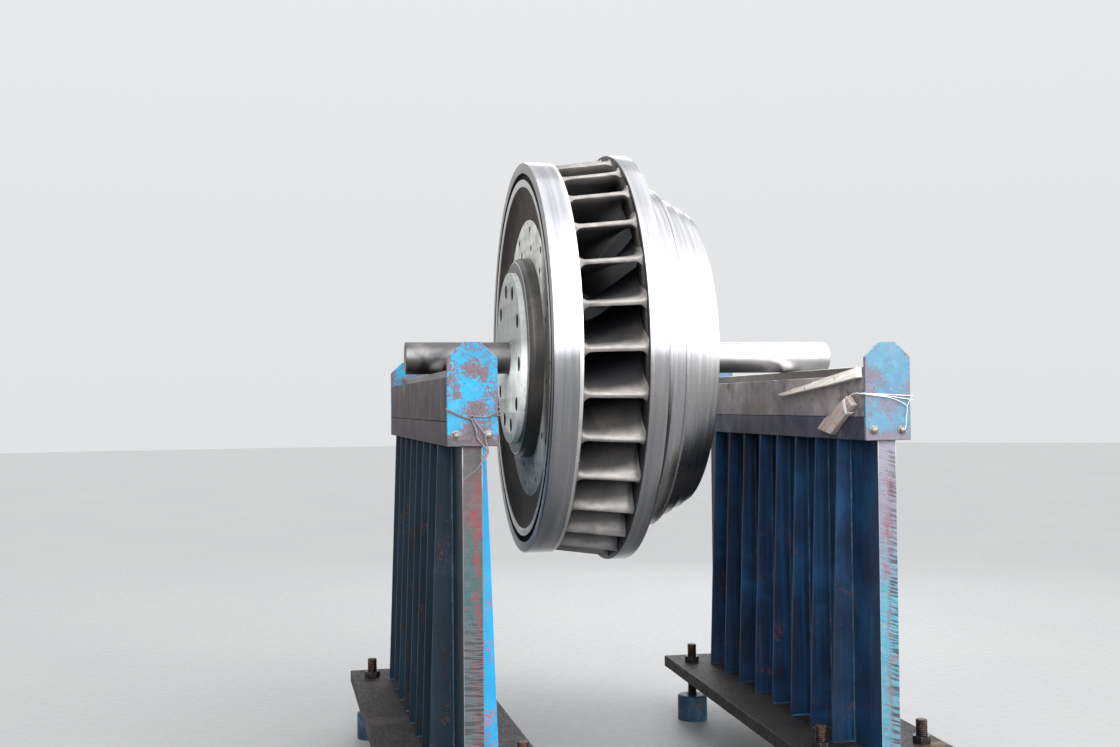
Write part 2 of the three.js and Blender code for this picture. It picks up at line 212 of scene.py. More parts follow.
class Finish(Nodes):
    """A material's nodes."""

    def __init__(self, name, metallic=0, turned=False):
        self.material = bpy.data.materials.new(name)
        self.material.use_nodes = True
        back = placing(turned).inverted()
        mapping = (back.translation / 1000, back.to_euler())
        super().__init__(self.material.node_tree, "Object", mapping)
        self.shader = self.nodes["Principled BSDF"]
        self.set("Metallic", metallic)
        self.set("Specular IOR Level", SPECULAR)

    def set(self, name, value):
        self.join(value, self.shader.inputs[name])

    def finish(self, colour, rough, *bumps):
        """Sets colour and roughness, and lays each bump of height, strength and distance."""
        self.set("Base Color", colour)
        self.set("Roughness", rough)
        normal = None
        for height, strength, distance in bumps:
            node = self.node("Bump")
            self.fill(node, Strength=strength, Distance=distance, Height=height)
            if normal is not None:
                self.fill(node, Normal=normal)
            normal = node.outputs[0]
        self.set("Normal", normal)
        return self.material

    def rise(self):
        return self.less(self.z, AXIS_Z / 1000)

    def radius(self):
        return self.far(self.y, self.rise())

    def lathe(self, fineness, around, detail=3, rough=0.6):
        """Noise that changes fast along the axis and the radius, and slowly round the axis."""
        radius = self.radius()
        place = self.vector(
            self.times(self.line(radius, 1.37, self.x), fineness),
            self.times(self.over(self.y, radius), around),
            self.times(self.over(self.rise(), radius), around),
        )
        return self.noise(1, detail, rough, at=place)


def toned(colour, *factors):
    return [channel * factor for channel, factor in zip(colour, factors)]


def turned_steel(name, dark, light, rough, marks=0.1, stains=0.25, painted_shadow=()):
    """Machined steel: turning marks, soft stains, nicks, and a painted shadow between two places in
    X.
    """
    f = Finish(name, metallic=1)
    lines = f.lathe(700, 0.8)
    broad = f.lathe(60, 1.2, 2, 0.5)
    clouds = f.noise(3.2, 5, 0.6, 0.6)
    tone = f.line(lines, 0.35, f.times(broad, 0.65))
    colour = f.mix(f.range(tone, 0.36, 0.64), dark, light)
    dull = f.range(clouds, 0.5, 0.72, 0, stains)
    colour = f.mix(dull, colour, (0.3, 0.24, 0.2))
    colour = f.cover(colour, (0.12, 0.1, 0.09), f.noise(160, 2, 0.5), 0.7, 0.76, 0.5)
    if painted_shadow:
        # Painted shadow that the band's rim casts on the drum: dark between two places in X, darker
        # towards the bottom.
        start = f.range(f.x, painted_shadow[0] - 0.002, painted_shadow[0])
        near = f.times(start, f.range(f.x, painted_shadow[1] + 0.003, painted_shadow[1]))
        shadow_below = f.range(f.line(clouds, 0.12, f.z), 1.5, 1.36, 0, 0.85)
        colour = f.mix(f.times(near, shadow_below), colour, (0.015, 0.015, 0.018))
    worn = f.line(dull, 0.4, f.line(lines, 0.1, rough - 0.05))
    return f.finish(colour, worn, (lines, marks, 0.0004), (f.noise(9, 2, 0.5), 0.03, 0.004))


def passage_cast(name, inlet, shine, rim=0):
    """Casting inside the passages: dark with brownish clouds, painted shade deeper in,
    and ground at the inlet.

    rim is how much painted shade lies on the band's edge and on its lower half.
    """
    f = Finish(name, metallic=0.3)
    stops = (0.3, 0.02, 0.022, 0.028), (0.5, 0.042, 0.04, 0.04), (0.68, 0.08, 0.07, 0.062)
    colour = f.ramp(f.noise(7, 6, 0.6, 0.8), *stops)
    grit = f.noise(120, 4, 0.6)
    radius = f.radius()
    # Painted shade: darker deeper into the passages.
    colour = f.cover(colour, (0.008, 0.009, 0.013), radius, 0.675, 0.56, 0.9)
    edge = f.range(radius, 0.63, 0.697)
    front = f.range(radius, 0.664, 0.697, 0.17, 0.95)
    cloudy = f.range(f.grain((14, 30, 30), 5, 0.65, 0.6), 0.35, 0.65)
    ground = f.mix(front, (0, 0, 0), f.mix(cloudy, toned(inlet, 0.55, 0.55, 0.55), inlet))
    colour = f.mix(f.times(edge, shine), colour, ground)
    # Painted shade on the band's lower half and on its edge, as much as rim.
    shaded = f.range(f.z, 1.62, 1.3, 0, rim)
    shaded = f.most(f.range(radius, 0.712, 0.719, 0, rim), shaded)
    colour = f.mix(shaded, colour, (0.016, 0.014, 0.015))
    rough = f.line(grit, 0.2, f.range(edge, 0, 1, 0.4, 0.3))
    return f.finish(colour, rough, (grit, 0.12, 0.001), (f.noise(22, 4), 0.16, 0.004))


def mottled(name, metallic, noise_of, first, second, rough, bump):
    """Two colours mixed by one noise, which makes the roughness and the bump as well."""
    f = Finish(name, metallic)
    cloud = f.noise(*noise_of)
    return f.finish(f.mix(cloud, first, second), f.range(cloud, 0.3, 0.7, *rough), (cloud, *bump))


def dark_web():
    """The crown's turned web: browned and oily, and painted near black as shade in the recessed
    dish.
    """
    f = Finish("web_browned_and_shaded")
    f.set("Specular IOR Level", 0.04)
    lines = f.lathe(420, 2.5)
    # Near black stops: browned steel together with painted shade of the recessed dish.
    stops = (0.3, 0.012, 0.01, 0.011), (0.52, 0.026, 0.02, 0.018), (0.7, 0.052, 0.04, 0.034)
    colour = f.ramp(f.noise(4.5, 6, 0.62, 0.7), *stops)
    colour = f.cover(colour, (0.075, 0.06, 0.052), lines, 0.5, 0.75, 0.3)
    return f.finish(colour, f.line(lines, 0.16, 0.42), (lines, 0.08, 0.0006))


def painted_recess_shade():
    # Near black painted shade for grooves, recesses and the bores of holes.
    f = Finish("groove_shadow", metallic=0.3)
    colour = f.mix(f.noise(30, 5), (0.006, 0.006, 0.007), (0.028, 0.024, 0.022))
    return f.finish(colour, 0.75, (f.noise(150, 3), 0.3, 0.0006))


def patina(name, pale, deep, streaks=0, near=0, upper=0):
    """Greenish grey oxide with drips and freckles, with painted shade on its near side or its upper
    half.
    """
    f = Finish(name)
    mottle = f.noise(16, 7, 0.68, 0.9)
    blotch = f.noise(5, 4, 0.6, 0.5)
    colour = f.mix(f.range(mottle, 0.35, 0.65), deep, pale)
    colour = f.cover(colour, (0.5, 0.52, 0.47), blotch, 0.52, 0.7, 0.5)
    drips = f.grain((40, 40, 5), 4, 0.6)
    colour = f.cover(colour, (0.1, 0.1, 0.095), drips, 0.52, 0.68, streaks)
    colour = f.cover(colour, (0.23, 0.12, 0.06), f.noise(75, 4, 0.7), 0.62, 0.7, 0.55)
    # Painted shade: darker on the near side (near) or on the upper half (upper), with ragged edges.
    ragged = f.range(blotch, 0.3, 0.7, -0.03, 0.03)
    painted_shade = f.range(f.plus(f.y, ragged), -0.3, -0.38, 0, near)
    painted_shade = f.most(painted_shade, f.range(f.plus(f.z, ragged), 1.46, 1.56, 0, upper))
    colour = f.mix(painted_shade, colour, (0.035, 0.031, 0.03))
    rough = f.range(mottle, 0.3, 0.7, 0.46, 0.7)
    return f.finish(colour, rough, (mottle, 0.22, 0.0015), (f.noise(140, 3), 0.15, 0.0006))


def boss_steel():
    f = Finish("boss_browned", metallic=0.25)
    lines = f.lathe(500, 2)
    stops = (0.32, 0.02, 0.019, 0.02), (0.6, 0.06, 0.056, 0.052), (0.75, 0.12, 0.11, 0.1)
    colour = f.ramp(f.noise(6, 5, 0.6, 0.5), *stops)
    colour = f.cover(colour, (0.16, 0.15, 0.14), lines, 0.55, 0.8, 0.4)
    return f.finish(colour, f.line(lines, 0.14, 0.28), (lines, 0.07, 0.0005))


def arbor_steel():
    """Ground bar: a darker copy of the steel on the crown's side as painted shade, bright on the
    outlet's.
    """
    f = Finish("arbor_ground", metallic=1)
    lines = f.lathe(500, 0.6)
    clouds = f.range(f.noise(9, 5, 0.6, 0.4), 0.35, 0.7)
    dark = f.mix(clouds, (0.045, 0.045, 0.048), (0.15, 0.145, 0.14))
    light = f.mix(clouds, (0.3, 0.3, 0.305), (0.46, 0.455, 0.455))
    # Painted shade: the dark copy on the crown's side, the light copy on the outlet's.
    colour = f.mix(f.range(f.x, -0.36, -0.2), dark, light)
    return f.finish(colour, f.line(lines, 0.12, 0.34), (lines, 0.03, 0.0004))


def bar_steel(name, turned, deep, mid, pale, tint, wipes):
    """Hot rolled bar, browned, with soft patches, wipes, scratches and dirt near its near end."""
    f = Finish(name, 0.4, turned)
    blotch = f.noise(7, 6, 0.62, 0.8)
    grit = f.noise(150, 4, 0.65)
    colour = f.ramp(blotch, (0.32, *deep), (0.52, *mid), (0.74, *pale))
    colour = f.cover(colour, tint, f.grain((5, 3, 9), 4, 0.6, 0.6), 0.46, 0.64, 0.6)
    wiped = f.grain((26, 26, 3), 5, 0.6, 0.4)
    colour = f.cover(colour, pale, wiped, 0.5, 0.72, wipes)
    colour = f.cover(colour, deep, wiped, 0.46, 0.34, wipes * 1.4)
    dirt = f.plus(f.noise(18, 5, 0.68, 0.7), f.range(f.y, -0.55, -0.85, 0, 0.17))
    colour = f.cover(colour, (0.022, 0.02, 0.021), dirt, 0.57, 0.74, 0.65)
    colour = f.cover(colour, pale, f.grain((6, 6, 380), 2, 0.5, 0.3), 0.67, 0.73, 0.3)
    return f.finish(colour, f.line(grit, 0.25, 0.44), (grit, 0.2, 0.0008), (blotch, 0.2, 0.003))


def strip_steel():
    """Ground rail strip, bright on top where the arbor rolls."""
    f = Finish("strip_ground", metallic=1)
    lines = f.grain((900, 14, 900), 3, 0.6)
    top = f.range(f.z, 1.456, 1.4569)
    side = f.mix(f.noise(11, 5, 0.6, 0.5), (0.16, 0.14, 0.13), (0.34, 0.32, 0.3))
    bright = f.mix(lines, (0.5, 0.49, 0.48), (0.74, 0.735, 0.73))
    rough = f.line(lines, 0.15, f.range(top, 0, 1, 0.42, 0.2))
    return f.finish(f.mix(top, side, bright), rough, (lines, 0.12, 0.0005))


def chipped_paint(name, centre, light, shade, chips, primer, steel, scrapes):
    """Blue paint over red-brown primer, chipped all over and scraped to grey steel in places.

    A scrape is [across, height, half width, half height, strength] about the plate's middle line.
    """
    f = Finish(name, turned=centre < 0)
    paint = f.mix(f.range(f.noise(7, 5, 0.6, 0.5), 0.35, 0.68), shade, light)
    paint = f.cover(paint, (0.14, 0.32, 0.4), f.noise(45, 5, 0.65), 0.52, 0.78, 0.3)
    small = f.noise(80, 6, 0.66, 2)
    chip = f.line(f.noise(13, 3, 0.6, 0.4), 0.42, f.times(small, 0.66))
    rub = 0
    for across, height, wide, tall, strength in scrapes:
        dx = f.over(f.less(f.x, centre + across), wide)
        dz = f.over(f.less(f.z, height), tall)
        rub = f.most(rub, f.range(f.far(dx, dz), 1.25, 0.45, 0, strength))
    edge = f.range(f.size(f.less(f.x, centre)), 0.062, 0.074, 0, 0.03)
    chip = f.plus(chip, edge)
    bare = f.range(f.line(rub, 0.16, chip), 0.64 - chips, 0.652 - chips)
    deep = f.range(f.line(rub, 0.22, chip), 0.742, 0.765)
    under = f.mix(f.noise(120, 3), primer, toned(primer, 1.4, 1.7, 1.8))
    metal = f.mix(f.grain((160, 160, 40), 4, 0.6), steel, toned(steel, 1.9, 1.9, 1.9))
    colour = f.mix(deep, f.mix(bare, paint, under), metal)
    grime = f.grain((30, 30, 3.2), 5, 0.6, 0.3)
    colour = f.cover(colour, (0.09, 0.085, 0.09), grime, 0.58, 0.76, 0.35)
    f.set("Metallic", f.times(deep, 0.55))
    bumps = (f.less(1, bare), 0.5, 0.0005), (f.noise(240, 3), 0.1, 0.0004)
    return f.finish(colour, f.range(bare, 0, 1, 0.36, 0.62), *bumps)


def frame_paint(name, centre, shaded_tones, sky, levels, light, red, run, slant, combed, across):
    """Stand paint: painted shade, a dark copy with dirt streaks, up to the web, and a painted lit
    sky blue copy beyond it; flame-cut steel on the web's ends.

    shaded_tones are the painted shade's three dark colours; what comes after sky tells how the
    cut face looks.
    """
    f = Finish(name, turned=centre < 0)
    aside = f.less(f.x, centre)
    cloud = f.noise(4, 6, 0.62, 0.6)
    # Painted shade: the dark copy of the paint, on the side of the web away from the light.
    dark = f.ramp(cloud, (0.3, *shaded_tones[0]), (0.52, *shaded_tones[1]), (0.74, *shaded_tones[2]))
    streaks = f.grain((75, 75, 2.2), 5, 0.62, 0.2)
    dark = f.cover(dark, shaded_tones[2], streaks, 0.5, 0.7, 0.55)
    dark = f.cover(dark, (0.008, 0.011, 0.014), streaks, 0.46, 0.32, 0.6)
    # Painted light: beyond the web the paint is a lit, brighter sky blue copy.
    lit_side = f.range(aside, 0.0286, 0.0294)
    bright = f.mix(f.range(cloud, 0.35, 0.65), toned(sky, 0.7, 0.7, 0.8), sky)
    bright = f.cover(bright, (0.1, 0.13, 0.15), streaks, 0.56, 0.74, 0.35)
    chip = f.line(f.noise(7, 3, 0.6), 0.52, f.times(f.noise(62, 6, 0.62, 2.2), 0.62))
    more = f.plus(f.range(f.z, 0.24, 0.55, 0.02, 0), f.times(lit_side, 0.032))
    bare = f.range(f.plus(chip, more), 0.692, 0.708)
    brown = f.mix(f.noise(40, 4), (0.04, 0.015, 0.013), (0.085, 0.03, 0.024))
    # The rust is painted light too: a lit red copy beyond the web, a shaded brown one elsewhere.
    rust = f.mix(lit_side, brown, (0.3, 0.06, 0.055))
    paint = f.mix(bare, f.mix(lit_side, dark, bright), rust)

    height = f.line(aside, slant, f.z)
    teeth = f.noise(1, 2, 0.5, at=f.vector(f.times(f.x, 9), 0, f.times(height, 320)))
    coarse = f.noise(1, 2, 0.6, at=f.vector(f.times(f.x, 11), 0, f.times(height, 150)))
    blotch = f.grain((40, 40, 16), 5, 0.65, 0.7)
    level = f.plus(f.range(f.z, 0.242, 1.222), f.range(blotch, 0.3, 0.7, -0.07, 0.07))
    cut = f.ramp(level, *levels)
    cut = f.cover(cut, light, f.noise(70, 5, 0.65), 0.4, 0.7, 0.45)
    cut = f.cover(cut, SOOT, teeth, 0.5, 0.62, 0.3)
    ragged = f.range(blotch, 0.3, 0.7, -0.018, 0.018)
    off = f.size(f.plus(f.less(aside, run), ragged))
    wet = f.times(f.range(off, 0.011, 0.003), f.range(teeth, 0.42, 0.58, 0.2, 1))
    wet = f.times(wet, f.range(level, 0.95, 0.86))
    place = f.range(f.grain((30, 30, 9), 3, 0.6), 0.4, 0.56, 0.1, 0.9)
    cut = f.mix(f.times(wet, place), cut, red)
    comb = f.times(f.range(level, *combed), f.range(coarse, 0.47, 0.56))
    comb = f.times(comb, f.most(f.range(aside, -0.006, 0.012), across))
    cut = f.mix(f.times(comb, 0.85), cut, SOOT)
    cut = f.cover(cut, red, f.noise(95, 3, 0.6), 0.64, 0.68, 0.7)
    rim = f.range(f.size(aside), 0.0268, 0.0286)
    rim = f.times(rim, f.range(level, 0.86, 0.98, 0.15, 0.8))
    cut = f.mix(rim, cut, (0.34, 0.34, 0.36))
    end = f.range(f.size(f.y), 0.8642, 0.8648)
    f.set("Metallic", f.times(end, 0.3))
    ridges = f.times(f.line(teeth, 0.3, f.less(1, comb)), end)
    bumps = (ridges, 0.5, 0.0012), (f.less(1, bare), 0.4, 0.0005), (streaks, 0.1, 0.001)
    return f.finish(f.mix(end, paint, cut), f.range(f.plus(bare, end), 0, 1, 0.46, 0.6), *bumps)


def base_steel():
    """Foot plate: nearly black mill scale with rust and a few yellow-brown stains."""
    f = Finish("foot_plate", metallic=0.35)
    cloud = f.noise(6, 6, 0.66, 0.7)
    stops = (0.3, 0.006, 0.006, 0.007), (0.52, 0.014, 0.012, 0.012), (0.74, 0.04, 0.033, 0.03)
    rust = f.noise(13, 6, 0.7, 1)
    colour = f.cover(f.ramp(cloud, *stops), (0.06, 0.03, 0.018), rust, 0.56, 0.68, 0.5)
    corner = f.times(f.range(f.y, -0.7, -0.86), f.range(f.noise(9, 4), 0.48, 0.62))
    colour = f.mix(f.times(corner, 0.75), colour, (0.36, 0.22, 0.065))
    rough = f.range(f.noise(90, 4), 0.3, 0.7, 0.48, 0.78)
    return f.finish(colour, rough, (f.noise(130, 4, 0.65), 0.3, 0.0012), (cloud, 0.3, 0.004))


def pad_paint(name):
    f = Finish(name, metallic=0.1)
    stops = (0.3, 0.008, 0.014, 0.022), (0.55, 0.014, 0.036, 0.064), (0.75, 0.03, 0.095, 0.17)
    bare = f.range(f.noise(60, 6, 0.7, 1.4), 0.6, 0.64)
    colour = f.ramp(f.noise(14, 5, 0.65, 0.6), *stops)
    colour = f.mix(f.times(bare, 0.85), colour, (0.13, 0.062, 0.04))
    return f.finish(colour, f.range(bare, 0, 1, 0.42, 0.7), (f.noise(110, 4), 0.25, 0.001))


def rusty_screw(name, dark, rust):
    """Oily dark thread with orange rust, strongest towards the top."""
    f = Finish(name, metallic=0.55)
    lower = f.range(f.z, 0.262, 0.32, 0.14, -0.06)
    amount = f.range(f.less(f.noise(55, 6, 0.7, 0.8), lower), 0.46, 0.64)
    rough = f.range(amount, 0, 1, 0.36, 0.78)
    return f.finish(f.mix(amount, dark, rust), rough, (f.noise(260, 4), 0.3, 0.0006))


def raw_wood(name, pale, deep, along):
    """Split softwood: long grain at an angle, brown dirt and red stains."""
    f = Finish(name)
    c, s = cos(along), sin(along)
    length = f.times(f.line(f.y, c, f.times(f.z, s)), 7)
    across = f.times(f.line(f.y, -s, f.times(f.z, c)), 160)
    grain = f.noise(1, 5, 0.6, 0.5, f.vector(f.times(f.x, 160), length, across))
    colour = f.mix(f.range(grain, 0.36, 0.66), deep, pale)
    colour = f.cover(colour, (0.21, 0.12, 0.085), f.noise(26, 5, 0.66, 0.8), 0.56, 0.7, 0.6)
    colour = f.cover(colour, (0.3, 0.075, 0.06), f.noise(34, 3, 0.5), 0.66, 0.71, 0.65)
    return f.finish(colour, f.range(grain, 0.3, 0.7, 0.62, 0.85), (grain, 0.5, 0.0012))


def bolt_steel():
    f = Finish("bolt_steel", metallic=0.8)
    spots = f.range(f.noise(120, 4, 0.6), 0.52, 0.66)
    colour = f.mix(spots, (0.15, 0.135, 0.12), (0.075, 0.05, 0.04))
    return f.finish(colour, f.range(spots, 0, 1, 0.3, 0.7), (spots, 0.2, 0.0004))


def floor_finish():
    f = Finish("pale_floor")
    colour = f.mix(f.noise(0.8, 5, 0.6), (0.185, 0.187, 0.19), (0.215, 0.215, 0.213))
    rough = f.range(f.noise(25, 4), 0.3, 0.7, 0.5, 0.62)
    return f.finish(colour, rough, (f.noise(70, 3), 0.05, 0.001))


crown_bright = turned_steel("crown_turned", (0.18, 0.185, 0.2), (0.29, 0.29, 0.3), 0.2, 0.06)
face_bright = turned_steel(
    "face_turned", (0.24, 0.235, 0.235), (0.38, 0.37, 0.36), 0.36, stains=0.4
)
drum_bright = turned_steel(
    "drum_turned", (0.2, 0.2, 0.21), (0.33, 0.33, 0.335), 0.27, 0.05, painted_shadow=(0.02, 0.042)
)
ring_bright = mottled(
    "polished_edge", 1, (24, 4, 0.6), (0.42, 0.415, 0.4), (0.58, 0.57, 0.56), (0.24, 0.38),
    (0.05, 0.001),
)
passage = passage_cast("passage_casting", (0.24, 0.225, 0.215), 0.95)
band_side = passage_cast("band_side_casting", (0.17, 0.155, 0.145), 1, rim=0.9)
web_brown_and_shade = dark_web()
recess_shade = painted_recess_shade()
cover_patina = patina("cover_patina", (0.5, 0.5, 0.48), (0.27, 0.27, 0.26), near=0.93)
flange_patina = patina("flange_patina", (0.9, 0.95, 0.92), (0.72, 0.77, 0.73), 0.35, upper=0.72)
boss_dark = boss_steel()
bar_bright = arbor_steel()
foot_paint = pad_paint("foot_paint")
weld_paint = pad_paint("weld_paint")
screw_rust = rusty_screw("screw_rust", (0.012, 0.009, 0.009), (0.075, 0.036, 0.02))
nut_rust = rusty_screw("nut_rust", (0.018, 0.015, 0.016), (0.07, 0.034, 0.018))
bolt_finish = bolt_steel()
rail_top = strip_steel()
foot_plate = base_steel()
chock_pale = raw_wood("chock_pale", (0.84, 0.8, 0.75), (0.62, 0.54, 0.48), radians(-8))
chock_grey = raw_wood("chock_grey", (0.46, 0.39, 0.37), (0.22, 0.17, 0.155), radians(-27))
twine_white = mottled(
    "twine_white", 0, (420, 3, 0.6), (0.34, 0.33, 0.34), (0.62, 0.61, 0.62), (0.45, 0.75),
    (0.4, 0.0005),
)
wire_rust = mottled(
    "wire_rust", 0.6, (420, 3, 0.6), (0.035, 0.026, 0.028), (0.24, 0.215, 0.225), (0.45, 0.75),
    (0.4, 0.0005),
)
block_left = bar_steel(
    "block_left", True,
    (0.012, 0.009, 0.01), (0.036, 0.029, 0.03), (0.11, 0.092, 0.088), (0.032, 0.019, 0.026), 0.45,
)
cap_left = bar_steel(
    "cap_left", True,
    (0.012, 0.009, 0.012), (0.026, 0.02, 0.026), (0.052, 0.043, 0.054), (0.03, 0.016, 0.024), 0.2,
)
block_right = bar_steel(
    "block_right", False,
    (0.185, 0.165, 0.175), (0.29, 0.262, 0.28), (0.42, 0.385, 0.385), (0.27, 0.225, 0.185), 0.1,
)
cap_right = bar_steel(
    "cap_right", False,
    (0.03, 0.031, 0.046), (0.066, 0.068, 0.098), (0.13, 0.133, 0.175), (0.086, 0.06, 0.084), 0.08,
)
plate_left = chipped_paint(
    "plate_left", -STAND_X / 1000, (0.012, 0.19, 0.315), (0.005, 0.142, 0.262), 0.078,
    (0.074, 0.046, 0.054), (0.042, 0.043, 0.045),
    (
        (-0.002, 1.45, 0.036, 0.03, 1), (0.03, 1.436, 0.022, 0.022, 0.9),
        (-0.052, 1.42, 0.02, 0.05, 0.4), (-0.045, 1.372, 0.016, 0.012, 0.7),
        (0.008, 1.33, 0.04, 0.03, 1), (0.01, 1.262, 0.046, 0.056, 1.1),
        (-0.07, 1.47, 0.012, 0.04, 0.5), (-0.03, 1.226, 0.09, 0.034, 1.2),
        (0.05, 1.226, 0.06, 0.03, 1.2),
    ),
)
plate_right = chipped_paint(
    "plate_right", STAND_X / 1000, (0.07, 0.158, 0.222), (0.038, 0.112, 0.174), 0.08,
    (0.088, 0.066, 0.082), (0.078, 0.084, 0.094),
    (
        (-0.045, 1.4, 0.034, 0.046, 0.55), (-0.062, 1.3, 0.012, 0.08, 0.35),
        (0, 1.226, 0.085, 0.022, 0.9), (-0.052, 1.25, 0.03, 0.022, 0.6),
    ),
)
frame_left = frame_paint(
    "frame_left", -STAND_X / 1000,
    ((0.001, 0.004, 0.007), (0.002, 0.009, 0.016), (0.003, 0.021, 0.038)), (0.013, 0.235, 0.4),
    levels=(
        (0, 0.05, 0.066, 0.074), (0.42, 0.052, 0.064, 0.07), (0.52, 0.018, 0.06, 0.062),
        (0.74, 0.036, 0.056, 0.058), (0.78, 0.074, 0.048, 0.052), (0.86, 0.064, 0.046, 0.05),
        (0.93, 0.052, 0.05, 0.05),
    ),
    light=(0.09, 0.086, 0.09), red=(0.16, 0.018, 0.022),
    run=0.012, slant=0.05, combed=(0.47, 0.44, 0, 1), across=0.75,
)
frame_right = frame_paint(
    "frame_right", STAND_X / 1000,
    ((0.002, 0.005, 0.014), (0.004, 0.016, 0.042), (0.007, 0.046, 0.115)), (0.022, 0.17, 0.3),
    levels=(
        (0, 0.03, 0.135, 0.18), (0.52, 0.04, 0.172, 0.225), (0.66, 0.092, 0.122, 0.162),
        (0.8, 0.122, 0.118, 0.154), (0.95, 0.15, 0.146, 0.18),
    ),
    light=(0.165, 0.165, 0.195), red=(0.15, 0.026, 0.036),
    run=0.004, slant=0.3, combed=(0.6, 0.95, 0.95, 0.55), across=0,
)


# Shapes


class Shape:
    """Corners and faces that end up in one piece; a face's mark is the number of its material."""

    def __init__(self, turned=False):
        self.place = placing(turned)
        self.verts = []
        self.faces = []
        self.marks = []

    def add(self, verts, faces, marks=0):
        base = len(self.verts)
        self.verts.extend(verts)
        self.faces.extend([tuple(base + index for index in face) for face in faces])
        self.marks.extend([marks] * len(faces) if isinstance(marks, int) else marks)

    def loft(self, loops, closed=(0, 0), mark=0, more=()):
        """Joins closed loops of corners; closed has the order, 1 or -1, of each end's face."""
        verts = [vert for loop in loops for vert in loop]
        count = len(loops[0])
        faces = []
        for start in range(0, len(verts) - count, count):
            for step in range(count):
                here, after = start + step, start + (step + 1) % count
                faces.append((here, after, after + count, here + count))
        for base, order in zip((0, len(verts) - count), closed):
            if order:
                faces.append(tuple(range(base, base + count))[::order])
        self.add(verts, [*faces, *more], mark)

    def piece(self, name, body, materials, nodes=(), sharp=32):
        mesh = bpy.data.meshes.new(name)
        mesh.from_pydata([self.place @ Vector(vert) / 1000 for vert in self.verts], [], self.faces)
        for material in materials:
            mesh.materials.append(material)
        mesh.polygons.foreach_set("material_index", self.marks)
        work = bmesh.new()
        work.from_mesh(mesh)
        bmesh.ops.remove_doubles(work, verts=work.verts, dist=1e-6)
        bmesh.ops.recalc_face_normals(work, faces=work.faces)
        work.to_mesh(mesh)
        work.free()
        mesh.shade_smooth()
        mesh.set_sharp_from_angle(angle=radians(sharp))
        item = placed(name, mesh)
        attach(item, body)
        if nodes:
            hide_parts(*nodes)


def on_runner(station, radius, angle):
    """Place on the runner; the angle runs from the near side upwards."""
    return (station + FACE_X, -radius * cos(angle), AXIS_Z + radius * sin(angle))


def rounded(corners, steps=3):
    """A closed profile from corners of station, radius and, if need be, fillet and mark."""
    corners = [(*corner, 0, 0)[:4] for corner in corners]
    profile = []
    for index, (station, radius, fillet, mark) in enumerate(corners):
        corner = Vector((station, radius))
        before = Vector(corners[index - 1][:2]) - corner
        after = Vector(corners[(index + 1) % len(corners)][:2]) - corner
        if not fillet:
            profile.append((station, radius, mark))
            continue
        start = corner + before.normalized() * min(fillet, 0.45 * before.length)
        end = corner + after.normalized() * min(fillet, 0.45 * after.length)
        for step in range(steps + 1):
            t = step / steps
            point = start * (1 - t) ** 2 + corner * (2 * t * (1 - t)) + end * t**2
            profile.append((point.x, point.y, mark))
    return profile


def turn(shape, profile, segments=240, place=on_runner, closed=True):
    """Turns a profile about its axis."""
    count = len(profile)
    verts, faces, marks = [], [], []
    for step in range(segments):
        here, there = step * count, (step + 1) % segments * count
        for row, (station, radius, mark) in enumerate(profile):
            verts.append(place(station, radius, tau * step / segments))
            if closed or row < count - 1:
                after = (row + 1) % count
                faces.append((here + row, here + after, there + after, there + row))
                marks.append(mark)
    shape.add(verts, faces, marks)


def turned_piece(name, node, materials, corners, segments=240, steps=3, closed=True):
    shape = Shape()
    turn(shape, rounded(corners, steps), segments, closed=closed)
    shape.piece(name, "rotor", materials, [node])


def bezier(points, t):
    a, b, c, d = (Vector(point) for point in points)
    s = 1 - t
    return a * s**3 + b * (3 * s * s * t) + c * (3 * s * t * t) + d * t**3


def wall(points, steps, mark, first):
    """Profile rows along a passage wall, closer together near the inlet."""
    rows = []
    for step in range(steps + 1):
        point = bezier(points, first + (1 - first) * (step / steps) ** 1.25)
        rows.append((point.x, point.y, 0, mark))
    return rows


def make_crown():
    rim, face, slot, edge, web, inside = range(6)
    materials = [crown_bright, face_bright, recess_shade, ring_bright, web_brown_and_shade, passage]
    turned_piece("crown_disc", "crown", materials, [
        (0, CROWN_RADIUS, 3.5, rim), (86, CROWN_RADIUS, 2, edge), (97.5, CROWN_RADIUS, 10, edge),
        (97.5, 680, 4, inside), *wall(HUB_WALL, 56, inside, 0.022), (500, 120, 2, inside),
        (45, 120, 1, slot), (45, 499, 0, web), (30, 499, 1.2, web), (27.5, 530, 0, web),
        (24, 560, 0, web), (16, 592, 0, web), (3, 616, 1, edge), (1, 620, 1, edge),
        (1, 642, 1.5, slot), (18, 642, 2, slot), (18, 663, 2, slot), (0, 663, 1.5, face),
    ])


def make_band():
    turned_piece("band_shroud", "band", [crown_bright, band_side], [
        *wall(BAND_WALL, 44, 1, 0.012), (588, 520, 1, 1), (440, 520, 0, 1), (440, 560, 0, 1),
        (363, 560, 0, 1), (363, BAND_RADIUS, 3.5), (298, BAND_RADIUS, 4, 1),
    ])


def make_wear_ring():
    """The stepped drum round the band, with its thin grooves."""
    corners = [
        (440.3, 520.3, 0, 1), (440.3, 560.3, 0, 1), (363.3, 560.3, 0, 1), (363.3, 596, 0, 1),
        (WEAR_START, 596, 2, 1),
    ]
    start = WEAR_START
    for radius, end, grooves in WEAR_STEPS:
        corners.append((start, radius, 2.5))
        for station in grooves:
            corners += [
                (station, radius, 0.6), (station + 0.8, radius - 1.4, 0.3),
                (station + 2.2, radius - 1.4, 0.3), (station + 3, radius, 0.6),
            ]
        corners.append((end, radius, 2.5))
        start = end
    corners.append((588, 520.3, 1))
    materials = [drum_bright, web_brown_and_shade]
    name, node = "stepped_wear_ring", "band_wear_ring"
    turned_piece(name, node, materials, corners, steps=2)


